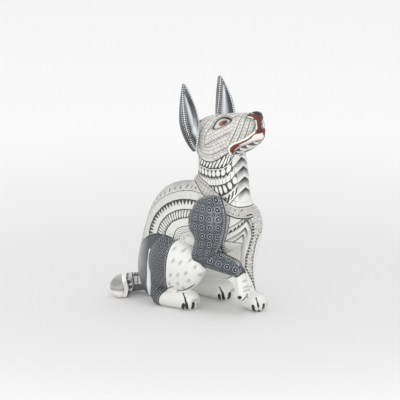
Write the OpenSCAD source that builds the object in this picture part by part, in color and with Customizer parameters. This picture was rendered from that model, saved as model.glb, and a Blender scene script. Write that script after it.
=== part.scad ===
// Seated carved wooden dog, right forepaw lifted, ears and tail plugged in on round pegs.
// Millimetres, +Z up, the animal faces +X and its left side is +Y.

/* [Pegs] */
// Radius of the round peg that carries each ear
ear_peg_r = 3; // [2:0.1:4]
// Radius of the round peg that carries the tail
tail_peg_r = 4; // [3:0.1:6]
// Radial clearance between a peg and its socket
fit = 0.05; // [0.02:0.01:0.1]
// Distance an ear peg runs into the head
ear_peg_in = 13; // [8:0.5:16]
// Distance an ear peg runs into the ear
ear_peg_out = 4.6; // [3:0.1:6]
// Distance the tail peg runs into the rump
tail_peg_in = 16; // [10:0.5:20]
// Distance the tail peg runs into the tail
tail_peg_out = 9; // [5:0.5:12]

/* [Dowels] */
// Radius of the glued dowels at shoulders and hips
limb_dowel_r = 4; // [3:0.1:6]
// Radius of the glued dowel between neck and trunk
neck_dowel_r = 7; // [4:0.1:9]
// Length of the neck dowel
neck_dowel_len = 34; // [20:1:44]

/* [Gaps] */
// Gap between an ear or the tail and the wood beside it
running_gap = 0.35; // [0.3:0.05:1]
// Height the collar stands proud of the coat
collar_proud = 0.9; // [0.4:0.1:2]

/* [Smoothness] */
// Points around each carved cross section
ring_n = 36; // [24:4:64]
// Points around each limb section
limb_n = 24; // [16:4:40]
// Interpolated sections between two control sections
steps = 3; // [2:1:6]

/* [Hidden] */

$fn = 48;
centre_x = -15;      // middle of the length, moved to the origin
centre_y = 0;        // middle of the width, moved to the origin
big = 300;
wood = [0.82, 0.68, 0.48];
coat = [0.90, 0.89, 0.86];
dark = [0.30, 0.32, 0.35];

// Catmull-Rom interpolation through a list of control sections
function cr(a, b, c, d, t) = 0.5 * (2 * b + (c - a) * t + (2 * a - 5 * b + 4 * c - d) * t * t
                                    + (3 * b - a - 3 * c + d) * t * t * t);
function dense(s, m = steps) = let (n = len(s)) concat(
    [for (i = [0 : n - 2], j = [0 : m - 1])
        cr(s[max(i - 1, 0)], s[i], s[i + 1], s[min(i + 2, n - 1)], j / m)],
    [s[n - 1]]);

function unit(v) = v / norm(v);
function rounded(v, p) = sign(v) * pow(abs(v), p);

// Section spanned by a back point, a front point and a half width: [bx, bz, fx, fz, w, y]
function rib(s, n, p) = [for (k = [0 : n - 1])
    let (c = rounded(cos(360 * k / n), p), q = rounded(sin(360 * k / n), p))
    [(s[0] + s[2]) / 2 + c * (s[2] - s[0]) / 2, s[5] + s[4] * q,
     (s[1] + s[3]) / 2 + c * (s[3] - s[1]) / 2]];

// Section square to a spine, with half sizes a (in the plane of travel) and b (along side)
function hoop(c, t, a, b, side, n) =
    let (e2 = unit(side - (side * t) * t), e1 = cross(e2, t))
    [for (k = [0 : n - 1]) c + a * cos(360 * k / n) * e1 + b * sin(360 * k / n) * e2];

// Closed skin over a stack of sections that all run the same way round
module skin(rings, first, last) {
    n = len(rings[0]);
    m = len(rings);
    pts = concat([for (r = rings, q = r) q], [first, last]);
    faces = concat(
        [for (i = [0 : m - 2], k = [0 : n - 1], h = [0, 1]) let (j = (k + 1) % n)
            h == 0 ? [i * n + k, (i + 1) * n + k, (i + 1) * n + j]
                   : [i * n + k, (i + 1) * n + j, i * n + j]],
        [for (k = [0 : n - 1]) [m * n, k, (k + 1) % n]],
        [for (k = [0 : n - 1]) [m * n + 1, (m - 1) * n + (k + 1) % n, (m - 1) * n + k]]);
    polyhedron(points = pts, faces = faces, convexity = 6);
}

// Carved mass through ribs; the two end points close it
module ribs(s, first, last, p = 0.94, n = ring_n, m = steps) {
    d = dense(s, m);
    skin([for (r = d) rib(r, n, p)], first, last);
}

// Carved mass along a spine of [x, y, z, a, b] sections with domed ends
module limb(s, cap0, cap1, side = [0, 1, 0], n = limb_n, m = steps) {
    d = dense(s, m);
    k = len(d) - 1;
    xyz = [for (r = d) [r[0], r[1], r[2]]];
    t = [for (i = [0 : k]) unit(xyz[min(i + 1, k)] - xyz[max(i - 1, 0)])];
    dome = [22.5, 45, 67.5];
    skin(concat(
        [for (j = [2, 1, 0]) hoop(xyz[0] - t[0] * cap0 * sin(dome[j]), t[0],
            d[0][3] * cos(dome[j]), d[0][4] * cos(dome[j]), side, n)],
        [for (i = [0 : k]) hoop(xyz[i], t[i], d[i][3], d[i][4], side, n)],
        [for (a = dome) hoop(xyz[k] + t[k] * cap1 * sin(a), t[k],
            d[k][3] * cos(a), d[k][4] * cos(a), side, n)]),
        xyz[0] - t[0] * cap0, xyz[k] + t[k] * cap1);
}

module place() translate([-centre_x, -centre_y, 0]) children();
module carved() resize([0, 0, 0]) union() children();
module above_floor() translate([-big, -big, 0]) cube(2 * big);
module right_of(y) translate([-big, y - 2 * big, -big]) cube(2 * big);
module flip(on) mirror([0, on ? 1 : 0, 0]) children();

// Round bar from one point along a direction
module bar(p, v, r, from, to) {
    d = unit(v);
    translate(p + d * from)
        rotate([0, acos(d[2]), atan2(d[1], d[0])]) cylinder(h = to - from, r = r);
}

// ---- trunk ----------------------------------------------------------------
collar_low = [-11.8, 112.8, 49.4, 88, 20.4, 0];
collar_top = [-6.6, 121.5, 47, 101, 18.4, 0];
neck_axis = unit([collar_top[3] - collar_top[1], 0, collar_top[0] - collar_top[2]]) * -1;
neck_joint = [(collar_top[0] + collar_top[2]) / 2, 0, (collar_top[1] + collar_top[3]) / 2];
trunk = [
    [-67, 1, -52, 1, 9, 0],
    [-71, 12, -49, 10, 16, 0],
    [-73.2, 26, -46, 22, 20, 0],
    [-72.6, 39, -36, 29, 23, 0],
    [-69.8, 53, -18, 34, 25, 0],
    [-66.5, 67, 0, 41, 26.5, 0],
    [-62.5, 80.5, 20, 49, 27, 0],
    [-55.5, 93.5, 36, 58, 26, 0],
    [-44.5, 104.5, 45, 70, 24, 0],
    [-29, 110.8, 48.8, 80, 21.9, 0],
    collar_low];

function grown(s, g) = let (v = unit([s[2] - s[0], s[3] - s[1]]))
    [s[0] - v[0] * g, s[1] - v[1] * g, s[2] + v[0] * g, s[3] + v[1] * g, s[4] + g, s[5]];
function between(a, b, t) = a + (b - a) * t;

module trunk_mass() {
    ribs(trunk, [-59.5, 0, -1], [15.7, 0, 100]);
    // collar band, a low step all round
    skin([for (r = [between(collar_low, collar_top, -0.3), grown(collar_low, collar_proud * 0.8),
            grown(between(collar_low, collar_top, 0.08), collar_proud),
            grown(between(collar_low, collar_top, 0.92), collar_proud),
            grown(collar_top, collar_proud * 0.8)]) rib(r, ring_n, 0.94)],
        [12, 0, 94], neck_joint);
}

// ---- head and neck --------------------------------------------------------
neck = [
    collar_top,
    [-5.4, 128, 45, 113, 17.6, 0],
    [-5.6, 138, 43.6, 127, 17.6, 0],
    [-8.6, 149, 39, 144, 19.4, 0],
    [-9.8, 160, 34, 160, 19.9, 0],
    [-5.6, 169, 29, 171, 16.8, 0],
    [2, 173.8, 22, 176.4, 9.5, 0]];
snout = [
    [4, 170, 4, 141, 17, 0],
    [12, 175, 14, 137.5, 19.4, 0],
    [24, 179, 26, 137.2, 18.6, 0],
    [38, 181.2, 40, 143.5, 14.6, 0],
    [50, 182.8, 52.6, 150, 10.6, 0],
    [57, 184.4, 60, 155.2, 8.5, 0],
    [61.6, 184, 63.6, 158.6, 6.4, 0]];

module head_mass() {
    ribs(neck, neck_joint, [12, 0, 176.6]);
    ribs(snout, [-1, 0, 157], [64, 0, 171], p = 0.9);
}

// ---- ears -----------------------------------------------------------------
ear_seat = [3, -19.9, 158];
ear_axis = unit([-0.15, -0.98, -0.10]);
ear_leaf = [
    [5.4, -23.4, 147.6, 3.2, 2.9],
    [4, -24, 152, 5.4, 4.2],
    [2.8, -24.6, 158, 8, 5.2],
    [1.6, -25, 165, 10.2, 5.4],
    [0.6, -25.2, 172, 11.3, 5.2],
    [-1.1, -25.4, 184, 9.4, 4.6],
    [-3.5, -25.2, 195, 5.9, 3.7],
    [-5.4, -25, 203, 2.6, 2.4]];
ear_hollow = [
    [2.6, -30.4, 163, 4.4, 2.8],
    [1.6, -30.4, 169, 7.6, 3.9],
    [0.4, -30.2, 177, 7.8, 4],
    [-1.6, -29.4, 187, 5.4, 3.4],
    [-4, -28, 196, 2.2, 2]];

module ear_mass() intersection() {
    difference() {
        limb(ear_leaf, 2.5, 3.4, m = 2);
        limb(ear_hollow, 3, 3, n = 20, m = 2);
    }
    translate(ear_seat) rotate([0, acos(ear_axis[2]), atan2(ear_axis[1], ear_axis[0])])
        translate([-big / 2, -big / 2, running_gap]) cube(big);
}

// Room outside the flat seat of the ear
module ear_recess() translate(ear_seat)
    rotate([0, acos(ear_axis[2]), atan2(ear_axis[1], ear_axis[0])])
        cylinder(h = 14, r = 26);

// ---- forelegs -------------------------------------------------------------
shoulder = [22, 0, 84];
module foreleg_right_mass() {
    intersection() {
        limb([[19.6, -21.5, 99, 17, 8], [21.6, -25, 92, 19.8, 10.4], [22.8, -26.6, 83, 20.8, 11.5],
              [24.2, -27, 75, 17.6, 11.4], [24, -27, 67, 13.8, 11], [20.5, -26.8, 59, 11.5, 10.4],
              [17, -26.6, 54, 10, 9.6]], 7.6, 6);
        right_of(-15);
    }
    limb([[14, -26, 52.8, 9.4, 9.6], [24, -23, 50.2, 9.4, 9.4], [37, -19.5, 46.6, 8.7, 8.7],
          [47.6, -16.8, 43.4, 7.9, 7.8]], 7, 5);
    limb([[50, -16, 41.6, 6, 6.6], [52.8, -15.3, 33, 5.4, 6.8], [54.8, -14.6, 24, 6.2, 8],
          [55.2, -14.2, 18.5, 6, 8.2]], 3, 5.5);
}
module foreleg_left_mass() intersection() {
    union() {
        intersection() {
            limb([[24, 21, 89, 13, 7.5], [27, 23.4, 82, 14.6, 8.8], [30, 24.2, 75, 13.6, 9.2],
                  [33, 22.4, 66, 10.6, 8.7], [34.6, 19, 57, 8.6, 7.8], [36, 15, 47, 7, 7],
                  [37.4, 12.2, 32, 6.5, 6.6], [39.6, 10.6, 16, 7.2, 7.6]], 7, 7);
            mirror([0, 1, 0]) right_of(-2);
        }
        limb([[37, 10.4, 8.4, 8, 7.6], [44, 10.2, 9, 9.2, 9], [52, 9.6, 8.2, 8.6, 9.4]], 4, 7.5);
    }
    above_floor();
}

// ---- hind legs ------------------------------------------------------------
hip = [-16, 0, 47];
module hindleg_mass() intersection() {
    union() {
        intersection() {
            limb([[-38, -24, 42, 17.6, 9], [-30, -26, 41, 24.6, 12.4], [-16, -27.4, 40, 23.6, 14],
                  [-2, -28, 40.2, 22.2, 13], [9, -28.6, 42, 17, 11], [16, -29, 43.4, 10.4, 8]],
                 7, 6);
            right_of(-15);
        }
        limb([[-26, -27, 34, 11, 9.4], [-33, -27.4, 20, 7.6, 7.6], [-36.5, -27.4, 9, 5.6, 6]], 8, 5);
        limb([[-35, -27.4, 5.4, 5.2, 5.6], [-24, -27, 7.8, 8, 8.4], [-12, -26, 9.2, 9.6, 9.4],
              [0, -24.8, 9, 9.6, 10]], 4.5, 9.5);
    }
    above_floor();
}

// ---- tail -----------------------------------------------------------------
tail_seat = [-70.4, 3, 11];
tail_axis = [-1, 0, 0];
tail_spine = [
    [-62, 3, 11, 8.2, 8.2],
    [-73, 3, 10.6, 8.4, 8.4],
    [-81, -1.5, 9.8, 8.6, 8.6],
    [-85, -11, 9.6, 9.1, 9.1],
    [-82.5, -21, 10, 9.8, 9.8],
    [-77, -29, 10.5, 10.4, 10.4]];
module tail_mass() intersection() {
    limb(tail_spine, 0.5, 8.5, side = [0, 0, 1]);
    above_floor();
    translate([tail_seat[0] - running_gap - 2 * big, -big, -big]) cube(2 * big);
}

// ---- nodes ----------------------------------------------------------------
module torso() color(coat) place() difference() {
    carved() difference() {
        intersection() {
            trunk_mass();
            above_floor();
        }
        foreleg_right_mass();
        foreleg_left_mass();
        for (s = [0, 1]) flip(s) hindleg_mass();
        // flat seat of the tail
        translate([tail_seat[0] - 20, tail_seat[1] - 40, tail_seat[2] - 30])
            cube([20, 80, 41]);
    }
    bar(neck_joint, neck_axis, neck_dowel_r, -neck_dowel_len / 2 - 0.4, 2);
    for (s = [-1, 1]) {
        bar([shoulder[0], 0, shoulder[2]], [0, s, 0], limb_dowel_r, 4.6, 30);
        bar([hip[0], 0, hip[2]], [0, s, 0], limb_dowel_r, 4.6, 30);
    }
    bar(tail_seat, tail_axis, tail_peg_r + fit, -tail_peg_in - 0.5, 4);
}

module head() color(coat) place() difference() {
    carved() difference() {
        head_mass();
        for (s = [0, 1]) flip(s) ear_recess();
    }
    bar(neck_joint, neck_axis, neck_dowel_r, -2, neck_dowel_len / 2 + 0.4);
    for (s = [0, 1]) flip(s) bar(ear_seat, ear_axis, ear_peg_r + fit, -ear_peg_in - 0.5, 3);
}

module neck_dowel() color(wood) place()
    bar(neck_joint, neck_axis, neck_dowel_r, -neck_dowel_len / 2, neck_dowel_len / 2);

module foreleg_right() color(dark) place() difference() {
    carved() foreleg_right_mass();
    bar([shoulder[0], 0, shoulder[2]], [0, -1, 0], limb_dowel_r, 0, 26.4);
}
module foreleg_left() color(coat) place() difference() {
    carved() foreleg_left_mass();
    bar([shoulder[0], 0, shoulder[2]], [0, 1, 0], limb_dowel_r, 0, 26.4);
}
module shoulder_dowel_right() color(wood) place()
    bar([shoulder[0], 0, shoulder[2]], [0, -1, 0], limb_dowel_r, 5, 26);
module shoulder_dowel_left() color(wood) place()
    bar([shoulder[0], 0, shoulder[2]], [0, 1, 0], limb_dowel_r, 5, 26);

module hindleg(left) color(coat) place() difference() {
    carved() difference() {
        flip(left) hindleg_mass();
        // the bent elbow rests in the right knee
        if (!left) foreleg_right_mass();
    }
    bar([hip[0], 0, hip[2]], [0, left ? 1 : -1, 0], limb_dowel_r, 0, 28.4);
}
module hindleg_right() hindleg(false);
module hindleg_left() hindleg(true);
module hip_dowel_right() color(wood) place()
    bar([hip[0], 0, hip[2]], [0, -1, 0], limb_dowel_r, 5, 28);
module hip_dowel_left() color(wood) place()
    bar([hip[0], 0, hip[2]], [0, 1, 0], limb_dowel_r, 5, 28);

module ear(left) color(dark) place() flip(left) difference() {
    carved() ear_mass();
    bar(ear_seat, ear_axis, ear_peg_r + fit, -1, ear_peg_out + running_gap + 0.3);
}
module ear_right() ear(false);
module ear_left() ear(true);
module ear_peg(left) color(wood) place() flip(left)
    bar(ear_seat, ear_axis, ear_peg_r, -ear_peg_in, ear_peg_out);
module ear_peg_right() ear_peg(false);
module ear_peg_left() ear_peg(true);

module tail() color(coat) place() difference() {
    carved() tail_mass();
    bar(tail_seat, tail_axis, tail_peg_r + fit, -1, tail_peg_out + running_gap + 0.4);
}
module tail_peg() color(wood) place()
    bar(tail_seat, tail_axis, tail_peg_r, -tail_peg_in, tail_peg_out);

torso();
head();
neck_dowel();
foreleg_right();
foreleg_left();
shoulder_dowel_right();
shoulder_dowel_left();
hindleg_right();
hindleg_left();
hip_dowel_right();
hip_dowel_left();
ear_right();
ear_left();
ear_peg_right();
ear_peg_left();
tail();
tail_peg();
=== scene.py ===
"""Looks of a carved wooden dog, sitting, painted in fine black and white patterns."""
import math

import bpy
import numpy as np
import openvdb
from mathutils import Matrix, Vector


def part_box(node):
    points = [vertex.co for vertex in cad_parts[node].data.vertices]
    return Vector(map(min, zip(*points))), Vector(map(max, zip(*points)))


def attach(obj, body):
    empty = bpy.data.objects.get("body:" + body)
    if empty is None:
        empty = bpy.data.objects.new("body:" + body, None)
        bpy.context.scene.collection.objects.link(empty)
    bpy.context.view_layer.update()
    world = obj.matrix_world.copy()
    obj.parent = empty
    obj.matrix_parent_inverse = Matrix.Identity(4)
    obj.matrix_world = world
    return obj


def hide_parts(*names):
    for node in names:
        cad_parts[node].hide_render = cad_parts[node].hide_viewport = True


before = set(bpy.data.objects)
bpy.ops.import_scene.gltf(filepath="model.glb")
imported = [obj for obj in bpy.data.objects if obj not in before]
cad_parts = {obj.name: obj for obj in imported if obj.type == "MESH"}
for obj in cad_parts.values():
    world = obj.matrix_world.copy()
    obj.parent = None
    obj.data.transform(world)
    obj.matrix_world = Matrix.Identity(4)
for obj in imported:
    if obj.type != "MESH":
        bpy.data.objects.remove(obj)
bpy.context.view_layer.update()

COARSE = 1.0

# ---------------------------------------------------------------- solids, in millimetres


class Solid:
    """A signed distance in millimetres on a regular grid, negative inside the wood."""

    def __init__(self, value, start, step):
        self.value = value
        self.start = start
        self.step = step

    def axes(self):
        sizes = self.value.shape
        x, y, z = ((self.start[i] + np.arange(sizes[i])) * self.step for i in range(3))
        return x[:, None, None], y[None, :, None], z[None, None, :]

    def sample(self, points):
        """The distance at each point, by trilinear interpolation."""
        at = points / self.step - self.start
        at = np.clip(at, 0, np.array(self.value.shape) - 1.001)
        cell = at.astype(int)
        part = at - cell
        total = np.zeros(len(points))
        for i in (0, 1):
            for j in (0, 1):
                for k in (0, 1):
                    share = np.abs(1 - i - part[:, 0]) * np.abs(1 - j - part[:, 1])
                    share = share * np.abs(1 - k - part[:, 2])
                    total += share * self.value[cell[:, 0] + i, cell[:, 1] + j, cell[:, 2] + k]
        return total


def corners_and_triangles(name):
    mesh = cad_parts[name].data
    corner = np.zeros(len(mesh.vertices) * 3, np.float32)
    mesh.vertices.foreach_get("co", corner)
    mesh.calc_loop_triangles()
    triangle = np.zeros(len(mesh.loop_triangles) * 3, np.int32)
    mesh.loop_triangles.foreach_get("vertices", triangle)
    return corner.reshape(-1, 3) * 1000, triangle.reshape(-1, 3).astype(np.uint32)


def grid_round(names, step, margin=6):
    """A grid that holds these nodes with room to spare: its first index and its shape."""
    low = np.min([np.array(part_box(n)[0]) for n in names], axis=0) * 1000
    high = np.max([np.array(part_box(n)[1]) for n in names], axis=0) * 1000
    start = np.floor(low / step).astype(int) - margin
    return start, np.ceil(high / step).astype(int) + margin + 1 - start


def solid_of(name, start, shape, step, band=7.0):
    """The signed distance to one CAD node, read on the grid given."""
    corner, triangle = corners_and_triangles(name)
    scale = openvdb.createLinearTransform(voxelSize=step)
    grid = openvdb.FloatGrid.createLevelSetFromPolygons(
        corner, triangles=triangle, transform=scale, halfWidth=band)
    value = np.zeros(tuple(shape), np.float32)
    grid.copyToArray(value, ijk=tuple(int(i) for i in start))
    return Solid(value, start, step)


def blurred(value, rounds):
    """Smooths the value over its neighbours along each axis in turn."""
    for _ in range(rounds):
        for axis in range(3):
            front = np.take(value, range(1, value.shape[axis]), axis)
            joined = np.concatenate([front, np.take(value, [-1], axis)], axis)
            back = np.take(value, range(value.shape[axis] - 1), axis)
            other = np.concatenate([np.take(value, [0], axis), back], axis)
            value = 0.5 * value + 0.25 * (joined + other)
    return value


def mesh_of(name, solid):
    """A smooth mesh object over the surface of a solid."""
    grid = openvdb.FloatGrid(7.0)
    grid.transform = openvdb.createLinearTransform(voxelSize=solid.step)
    grid.copyFromArray(solid.value, ijk=tuple(int(i) for i in solid.start))
    point, quad = grid.convertToQuads(0.0)
    mesh = bpy.data.meshes.new(name)
    mesh.from_pydata((point * 0.001).tolist(), [], quad.tolist())
    mesh.shade_smooth()
    made = bpy.data.objects.new(name, mesh)
    bpy.context.scene.collection.objects.link(made)
    return made, point.astype(float)


def folded(point):
    """The points of the left side laid over those of the right."""
    return np.column_stack([point[:, 0], np.abs(point[:, 1]), point[:, 2]])


def add_fields(made, fields):
    """Stores a number at each corner for each named field."""
    for name, value in fields.items():
        layer = made.data.attributes.new(name, "FLOAT", "POINT")
        layer.data.foreach_set("value", np.asarray(value, np.float32))


# ---------------------------------------------------------------- distances to drawn lines


def nearest_on(points, line):
    """The distance from flat points to a line, and how far along the line the nearest spot is."""
    best = np.full(len(points), 1e9)
    along = np.zeros(len(points))
    done = 0.0
    for (ax, ay), (bx, by) in zip(line[:-1], line[1:]):
        run = math.hypot(bx - ax, by - ay)
        dx, dy = (bx - ax) / run, (by - ay) / run
        t = np.clip((points[:, 0] - ax) * dx + (points[:, 1] - ay) * dy, 0, run)
        far = np.hypot(points[:, 0] - ax - t * dx, points[:, 1] - ay - t * dy)
        closer = far < best
        best = np.where(closer, far, best)
        along = np.where(closer, done + t, along)
        done += run
    return best, along


def smooth_line(points, rounds=3, closed=False):
    """Rounds the corners of a line by cutting them, over and over."""
    line = [tuple(map(float, p)) for p in points]
    for _ in range(rounds):
        pairs = list(zip(line, line[1:] + line[:1])) if closed else list(zip(line[:-1], line[1:]))
        cut = []
        for (ax, ay), (bx, by) in pairs:
            cut.append((0.75 * ax + 0.25 * bx, 0.75 * ay + 0.25 * by))
            cut.append((0.25 * ax + 0.75 * bx, 0.25 * ay + 0.75 * by))
        line = cut if closed else [line[0]] + cut + [line[-1]]
    return line


def inside(points, outline):
    """The distance from flat points to a closed outline, negative inside it."""
    loop = outline + outline[:1]
    far, _ = nearest_on(points, loop)
    odd = np.zeros(len(points), bool)
    for (ax, ay), (bx, by) in zip(loop[:-1], loop[1:]):
        crosses = (ay > points[:, 1]) != (by > points[:, 1])
        if ay != by:
            at = ax + (points[:, 1] - ay) * (bx - ax) / (by - ay)
            odd ^= crosses & (points[:, 0] < at)
    return np.where(odd, -far, far)


def ease(value, low, high):
    t = np.clip((value - low) / (high - low), 0, 1)
    return t * t * (3 - 2 * t)


# ---------------------------------------------------------------- shader arithmetic


class Num:
    """A number that varies over a surface, kept as the output of a node."""

    def __init__(self, paint, socket):
        self.paint = paint
        self.socket = socket

    def math(self, kind, *others, clamp=False):
        node = self.paint.tree.nodes.new("ShaderNodeMath")
        node.operation = kind
        node.use_clamp = clamp
        for slot_in, value in zip(node.inputs, (self,) + others):
            if isinstance(value, Num):
                self.paint.tree.links.new(value.socket, slot_in)
            else:
                slot_in.default_value = value
        return Num(self.paint, node.outputs[0])

    def __add__(self, other):
        return self.math("ADD", other)

    __radd__ = __add__

    def __sub__(self, other):
        return self.math("SUBTRACT", other)

    def __rsub__(self, other):
        return (self * -1.0) + other

    def __mul__(self, other):
        return self.math("MULTIPLY", other)

    __rmul__ = __mul__

    def __truediv__(self, other):
        return self.math("DIVIDE", other)

    def __neg__(self):
        return self * -1.0

    def __abs__(self):
        return self.math("ABSOLUTE")

    def least(self, other):
        return self.math("MINIMUM", other)

    def most(self, other):
        return self.math("MAXIMUM", other)

    def floor(self):
        return self.math("FLOOR")

    def saw(self, pitch):
        """The distance to the nearest multiple of the pitch."""
        return self.math("PINGPONG", pitch / 2)

    def unit(self):
        return self.math("ADD", 0.0, clamp=True)

    def below(self, edge=0.0, blur=0.22):
        """1 where the number is below the edge, else 0, with a painted edge between."""
        return self.math("MULTIPLY_ADD", -1 / blur, edge / blur + 0.5, clamp=True)

    def above(self, edge=0.0, blur=0.22):
        return self.math("MULTIPLY_ADD", 1 / blur, 0.5 - edge / blur, clamp=True)

    def line(self, width, at=0.0, blur=0.22):
        return abs(self - at).below(width / 2, blur)

    def between(self, low, high, blur=0.22):
        return self.above(low, blur) * self.below(high, blur)

    def ramp(self, low, high):
        return self.math("MULTIPLY_ADD", 1 / (high - low), -low / (high - low), clamp=True)


class Paint:
    """A painted-wood material: colours laid one over another by masks."""

    def __init__(self, name, ground):
        self.made = bpy.data.materials.new(name)
        self.made.use_nodes = True
        self.tree = self.made.node_tree
        self.shader = self.tree.nodes["Principled BSDF"]
        place = self.tree.nodes.new("ShaderNodeTexCoord").outputs["Object"]
        scaled = self.tree.nodes.new("ShaderNodeVectorMath")
        scaled.operation = "SCALE"
        scaled.inputs["Scale"].default_value = 1000
        self.tree.links.new(place, scaled.inputs[0])
        self.place = scaled.outputs[0]
        apart = self.tree.nodes.new("ShaderNodeSeparateXYZ")
        self.tree.links.new(self.place, apart.inputs[0])
        self.x, self.y, self.z = (Num(self, s) for s in apart.outputs)
        first = self.tree.nodes.new("ShaderNodeRGB")
        first.outputs[0].default_value = linear(ground)
        self.colour = first.outputs[0]

    def field(self, name):
        node = self.tree.nodes.new("ShaderNodeAttribute")
        node.attribute_name = name
        return Num(self, node.outputs["Fac"])

    def noise(self, size, detail=2.0, rough=0.5, stretch=None, shift=0.0):
        """A smooth random number about 0.5, in patches of this size in millimetres."""
        where = self.place
        if stretch or shift:
            moved = self.tree.nodes.new("ShaderNodeMapping")
            moved.inputs["Scale"].default_value = stretch or (1, 1, 1)
            moved.inputs["Location"].default_value = (shift, shift * 0.7, shift * 1.3)
            self.tree.links.new(where, moved.inputs[0])
            where = moved.outputs[0]
        node = self.tree.nodes.new("ShaderNodeTexNoise")
        node.inputs["Scale"].default_value = 1 / size
        node.inputs["Detail"].default_value = detail
        node.inputs["Roughness"].default_value = rough
        self.tree.links.new(where, node.inputs["Vector"])
        return Num(self, node.outputs["Fac"])

    def random(self, a, b):
        """A random number from 0 to 1 for each pair of whole numbers."""
        pair = self.tree.nodes.new("ShaderNodeCombineXYZ")
        self.tree.links.new(a.socket, pair.inputs[0])
        self.tree.links.new(b.socket, pair.inputs[1])
        node = self.tree.nodes.new("ShaderNodeTexWhiteNoise")
        node.noise_dimensions = "3D"
        self.tree.links.new(pair.outputs[0], node.inputs["Vector"])
        return Num(self, node.outputs["Value"])

    def lay(self, mask, colour):
        """Paints a colour over what is there, as strongly as the mask says."""
        node = self.tree.nodes.new("ShaderNodeMix")
        node.data_type = "RGBA"
        self.tree.links.new(mask.socket, node.inputs[0])
        self.tree.links.new(self.colour, node.inputs[6])
        if isinstance(colour, tuple):
            node.inputs[7].default_value = linear(colour)
        else:
            self.tree.links.new(colour, node.inputs[7])
        self.colour = node.outputs[2]

    def keep(self):
        """Remembers the colour so far, so that a zone can be painted and then masked."""
        return self.colour

    def merge(self, under, mask):
        """Shows what was painted since keep() only inside the mask."""
        over = self.colour
        self.colour = under
        self.lay(mask, over)

    def finish(self, roughness=0.42, coat=0.12):
        """Adds the brush's unevenness and the satin of the varnish, and returns the material."""
        cloud = self.noise(9.0, 3.0)
        grain = self.noise(1.1, 3.0, 0.6, (1, 1, 0.35))
        speck = self.noise(0.35, 2.0, 0.6)
        shade = (cloud - 0.5) * 0.10 + (grain - 0.5) * 0.06
        self.lay(shade.unit(), (150, 147, 140))
        self.lay((-shade).unit(), (255, 254, 250))
        rough = roughness + (cloud - 0.5) * 0.12 + (speck - 0.5) * 0.18
        self.tree.links.new(rough.socket, self.shader.inputs["Roughness"])
        high = (cloud - 0.5) * 1.2 + (grain - 0.5) * 0.35 + (speck - 0.5) * 0.12
        node = self.tree.nodes.new("ShaderNodeBump")
        node.inputs["Strength"].default_value = 0.10
        node.inputs["Distance"].default_value = 0.001
        self.tree.links.new(high.socket, node.inputs["Height"])
        self.tree.links.new(node.outputs[0], self.shader.inputs["Normal"])
        self.tree.links.new(self.colour, self.shader.inputs["Base Color"])
        self.shader.inputs["Coat Weight"].default_value = coat
        self.shader.inputs["Coat Roughness"].default_value = 0.25
        self.shader.inputs["Specular IOR Level"].default_value = 0.45
        return self.made


def hypot(a, b):
    return (a * a + b * b).math("SQRT")


def linear(colour):
    """An sRGB colour, 0 to 255, as the linear numbers a shader takes."""
    part = [c / 255 for c in colour]
    curve = [c / 12.92 if c <= 0.04045 else ((c + 0.055) / 1.055) ** 2.4 for c in part]
    return (*curve, 1.0)


WHITE = (217, 217, 213)
CREAM = (192, 191, 186)
MIST = (186, 186, 184)
GREY = (128, 130, 131)
SLATE = (70, 74, 79)
INK = (36, 37, 40)
BLACK = (20, 20, 22)
RED = (103, 34, 27)
SEAM = (50, 50, 54)

# ---------------------------------------------------------------- strokes shared by the paints


def teeth(u, depth, pitch, length):
    """Pointed teeth that hang from depth 0."""
    edge = depth + u.saw(pitch) * (2 * length / pitch)
    return edge.below(length) * depth.above(0)


def leaves(u, depth, pitch, low, high, fill=0.42):
    """Slim leaves side by side from one depth to the other: 1 on the leaves."""
    middle = (low + high) / 2
    half = (high - low) / 2
    off = (depth - middle) / half
    taper = 1.0 - off * off * off * off
    away = (u + pitch / 2).saw(pitch)
    return (away - taper * (pitch * fill)).below(0) * depth.between(low, high)


def stipple(p, size, level):
    """Fine sponge dots."""
    return p.noise(size, 1.0, 0.4).ramp(level, level + 0.08)


def bricks(p, u, v, wide, tall, fill, outline):
    """Rows of small painted cells: a random tone for each, and thin outlines.

    fill and outline are each a strength and a colour.
    """
    row = (v / tall).floor()
    slid = u / wide + p.random(row, row) * 3.0
    col = slid.floor()
    gap_u = (slid * wide).saw(wide)
    gap_v = v.saw(tall)
    edges = gap_u.below(0.16, 0.3).most(gap_v.below(0.20, 0.3))
    tone = p.random(row + 0.5, col)
    p.lay(tone * tone * fill[0], fill[1])
    p.lay(edges * outline[0], outline[1])


# ---------------------------------------------------------------- fields over the body

BAND_MIDDLE = (16.1, 63.2)
BAND_STRETCH = 0.75
COLLAR_LOW = ([3, 10, 17, 22, 27, 40, 53, 60, 66], [119, 117, 114.6, 110.7, 107, 98.5, 91, 88, 86.8])
COLLAR_TOP = ([3, 10, 17.6, 29, 42, 49, 54, 60, 66], [126, 124, 121, 117, 109, 104, 100, 97.3, 97])
NECK_RISE = ([0, 5, 15, 22, 28, 35, 41, 50, 66, 92, 139, 180],
             [18.6, 17.3, 14.8, 12.2, 9.4, 6.6, 4.6, 2.7, 1.1, 0, 1.4, 4])
NECK_AXIS = ([95, 111, 120, 132, 146, 160], [36, 35, 34.8, 34, 31, 29])


def body_fields(point):
    """The numbers that the trunk's, collar's and neck's patterns are drawn in."""
    x, y, z = point.T
    across = (x - BAND_MIDDLE[0]) * BAND_STRETCH
    up = z - BAND_MIDDLE[1]
    low = (z - np.interp(x, *COLLAR_LOW)) * 0.86
    top = (z - np.interp(x, *COLLAR_TOP)) * 0.86
    axis = np.interp(z, *NECK_AXIS)
    turn = np.arctan2(np.abs(y), x - axis)
    rise = np.interp(np.degrees(turn), *NECK_RISE)
    return {
        "ring": np.hypot(across, up),
        "turn": np.arctan2(across, up),
        "collar_low": low,
        "collar_top": top,
        "neck": z - rise,
        "round": turn * 18,
    }


# ---------------------------------------------------------------- shapes

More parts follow.
